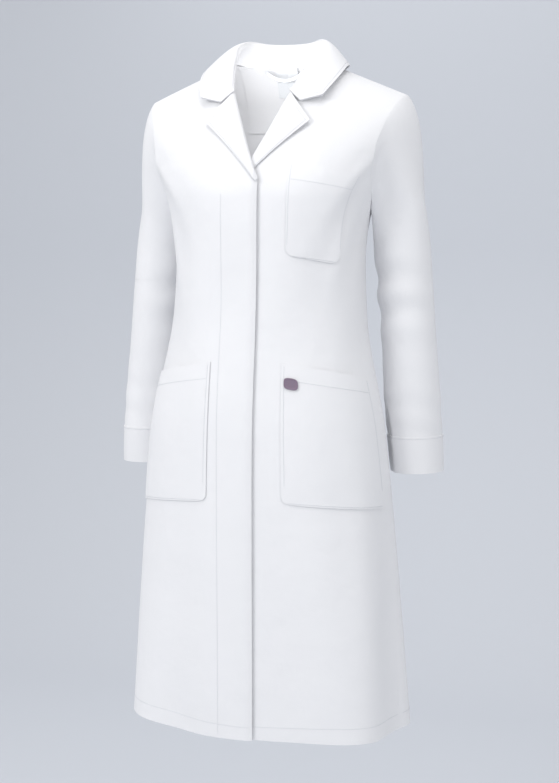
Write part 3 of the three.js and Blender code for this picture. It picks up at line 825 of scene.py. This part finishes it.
def woven(name, colour, shade, pitch):
    """A satin ribbon: fine straight threads both ways on an even colour, with a soft sheen."""
    look = Look(name)
    place = look.node("ShaderNodeTexCoord", {}, {}, "UV")
    apart = look.node("ShaderNodeSeparateXYZ", {}, {"Vector": place}, "X")
    down = Amount(look, apart.socket.node.outputs["Y"])
    warp = look.node("ShaderNodeMath", {"operation": "SINE"}, {0: apart * (2 * math.pi / pitch)})
    weft = look.node("ShaderNodeMath", {"operation": "SINE"}, {0: down * (2 * math.pi / pitch)})
    tone = look.node("ShaderNodeMix", {"data_type": "RGBA"}, {"Factor": warp * weft * 0.5 + 0.5}, 2)
    look.feed(tone.socket.node.inputs[6], colour)
    look.feed(tone.socket.node.inputs[7], shade)
    bump = look.node("ShaderNodeBump", {}, {"Height": warp * weft, "Distance": 0.00008, "Strength": 0.5})
    look.shader.inputs["Sheen Weight"].default_value = 0.2
    return look.finish(Base_Color=tone, Roughness=0.5 + warp * 0.06, Normal=bump)


label_satin = woven("label_satin", (0.86, 0.87, 0.88, 1.0), (0.74, 0.76, 0.79, 1.0), 0.0005)
care_satin = woven("care_satin", (0.80, 0.82, 0.84, 1.0), (0.66, 0.68, 0.71, 1.0), 0.0007)
loop_tape = woven("loop_tape", (0.80, 0.82, 0.85, 1.0), (0.62, 0.65, 0.70, 1.0), 0.0009)
piece_inside("neck_facing", "back_neck_facing", neck_facing, 50, 40, -0.0014, 0.0010, coat_cloth)
facing_line = stitches("neck_facing_stitching", neck_facing, steps * 0.98 + 0.01, full * 0.975, -0.0024,
                       lambda p: -from_body(p))
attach(facing_line, "body")
piece_inside("name_label", "neck_label", neck_patch(0.038, -0.004, 0.015), 20, 12, -0.0048, 0.0006, label_satin)
piece_inside("washing_label", "care_label", neck_patch(0.037, 0.0175, 0.0415), 20, 14, -0.0052, 0.0006, care_satin,
             "care_flap")


def loop_shape(u, v):
    """A flat tape 5 mm wide, carried along a hanging arc between its two sewn ends."""
    t = 2 * u - 1
    x = 0.030 * t
    sag = 0.013 * (1 - t * t)
    return np.stack([x, -0.016 + 0.002 * (1 - t * t), -0.006 - sag - 0.005 * (v - 0.5)], axis=-1)


def loop_tab(side):
    """A short end of the tape, from the neck seam to the loop."""
    def surface(u, v):
        return np.stack([side * (0.0275 + 0.005 * u), 0.001 - 0.0175 * v, -0.0035 - 0.003 * v + 0 * u], axis=-1)
    return surface


loop = cloth_piece("hanging_loop", loop_shape, 40, 5, 0.0, 0.0010, loop_tape, lambda p: p * 0 + np.array([0, -1, 0]))
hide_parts("hanger_loop")
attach(loop, "loop")
for side, hand in NAMES.items():
    tab = cloth_piece(hand + "_loop_tab", loop_tab(side), 5, 12, 0.0, 0.0010, loop_tape, lambda p: p * 0 + np.array([0, 0, 1]))
    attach(tab, "body")


# Patch pockets: one on each hip and one on the left chest, hemmed along the mouth and stitched round
# the other three sides. They lie almost flat, with the mouth a little open.
def pocket(side, inner, outer, top, bottom, corner, puff):
    """u runs from the inner to the outer edge and v from the mouth to the bottom. The sides draw in
    over the lowest part as a quarter circle, and the patch stands off most in its middle."""
    def surface(u, v):
        drop = top[0] + (top[1] - top[0]) * u + (bottom[0] - top[0] + (bottom[1] - bottom[0] - top[1] + top[0]) * u) * v
        tall = bottom[0] - top[0]
        low = np.clip((v - 1 + corner / tall) * tall / corner, 0, 1)
        inset = corner * (1 - np.sqrt(np.clip(1 - low ** 2, 0, 1))) * 0.96
        near = angle_of(inner[0] + (inner[1] - inner[0]) * v, drop)
        far = outer[0] + (outer[1] - outer[0]) * v
        wide = np.radians(far - near) * through_levels(HALF, drop) * 0.9
        share = (inset + (wide - 2 * inset) * u) / wide
        x = ring_x(near + (far - near) * share, drop)
        p = body(x * side, drop)
        middle = np.sin(math.pi * np.clip(u, 0, 1)) ** 0.7
        stand = 0.0012 + puff * middle * np.sin(math.pi * np.clip(0.12 + 0.88 * v, 0, 1)) ** 0.7
        mouth = 0.4 * puff * middle * (1 - ease(v, 0, 0.35))
        out = np.radians(np.abs(angle_of(x, drop)))[..., None]
        way = np.concatenate([side * np.sin(out), -np.cos(out), 0 * out], axis=-1)
        p[..., 1] -= lift(x, drop, side)
        return p + way * (stand + mouth)[..., None]
    return surface


HIP = dict(inner=(0.054, 0.058), outer=(76.0, 83.0), top=(0.446, 0.472), bottom=(0.655, 0.669), corner=0.012, puff=0.0028)
CHEST_PATCH = dict(inner=(0.058, 0.055), outer=(58.0, 56.0), top=(0.153, 0.171), bottom=(0.291, 0.300), corner=0.016, puff=0.0024)
POCKETS = [("left_hip_pocket", 1, HIP, "left"), ("right_hip_pocket", -1, HIP, "right"), ("breast_pocket", 1, CHEST_PATCH, None)]
for name, side, sizes, _ in POCKETS:
    shape = pocket(side, **sizes)
    patch = cloth_piece(name + "_patch", shape, 70, 90, 0.0006, 0.0011)
    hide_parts(name)
    tall = sizes["bottom"][0] - sizes["top"][0]
    turned = cloth_piece(name + "_mouth_hem", lambda u, v, s=shape, k=0.024 / tall: s(0.01 + 0.98 * u, 0.004 + k * v), 40, 8,
                         -0.0006, 0.0008, band_cloth)
    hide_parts(name + "_hem")
    for part, u, v in (("mouth", 0.02 + 0.96 * steps, full * 0.024 / tall), ("inner", full * 0.022, 0.01 + 0.86 * steps),
                       ("outer", full * 0.978, 0.01 + 0.86 * steps), ("bottom", 0.02 + 0.96 * steps, full * 0.985)):
        with_front(stitches(name + "_" + part + "_stitching", shape, u, v, 0.0008))
    for made in (patch, turned):
        with_front(made)

# The badge: a small plain woven tab near the mouth of the left hip pocket, with a raised rim.
BADGE_PLACE = (0.085, 0.135)
BADGE_SIZE = (0.0092, 0.0086)
POCKET_SIZE = (0.150, 0.209)
badge_cloth = woven("badge_cloth", (0.13, 0.17, 0.26, 1.0), (0.30, 0.15, 0.18, 1.0), 0.0011)


def badge_shape(u, v):
    """Rings of a rounded square on the pocket, with a rim where the radius reaches its last fifth."""
    turn = 2 * math.pi * u
    bend = (np.abs(np.cos(turn)) ** 3.2 + np.abs(np.sin(turn)) ** 3.2) ** (-1 / 3.2)
    radius = (0.02 + 0.98 * v) * bend
    across = BADGE_PLACE[0] + BADGE_SIZE[0] / POCKET_SIZE[0] * radius * np.cos(turn)
    p = pocket(1, **HIP)(across, BADGE_PLACE[1] + BADGE_SIZE[1] / POCKET_SIZE[1] * radius * np.sin(turn))
    p[..., 1] -= 0.0022 + 0.0005 * ease(v, 0.72, 0.80)
    return p


tab = cloth_piece("pocket_tab", badge_shape, 49, 14, 0.0, 0.0010, badge_cloth, from_body, True)
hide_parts("pocket_badge")
with_front(tab)

low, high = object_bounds()
sizes = {"cad": [list(cad_box[0]), list(cad_box[1])], "visual": [list(low), list(high)]}
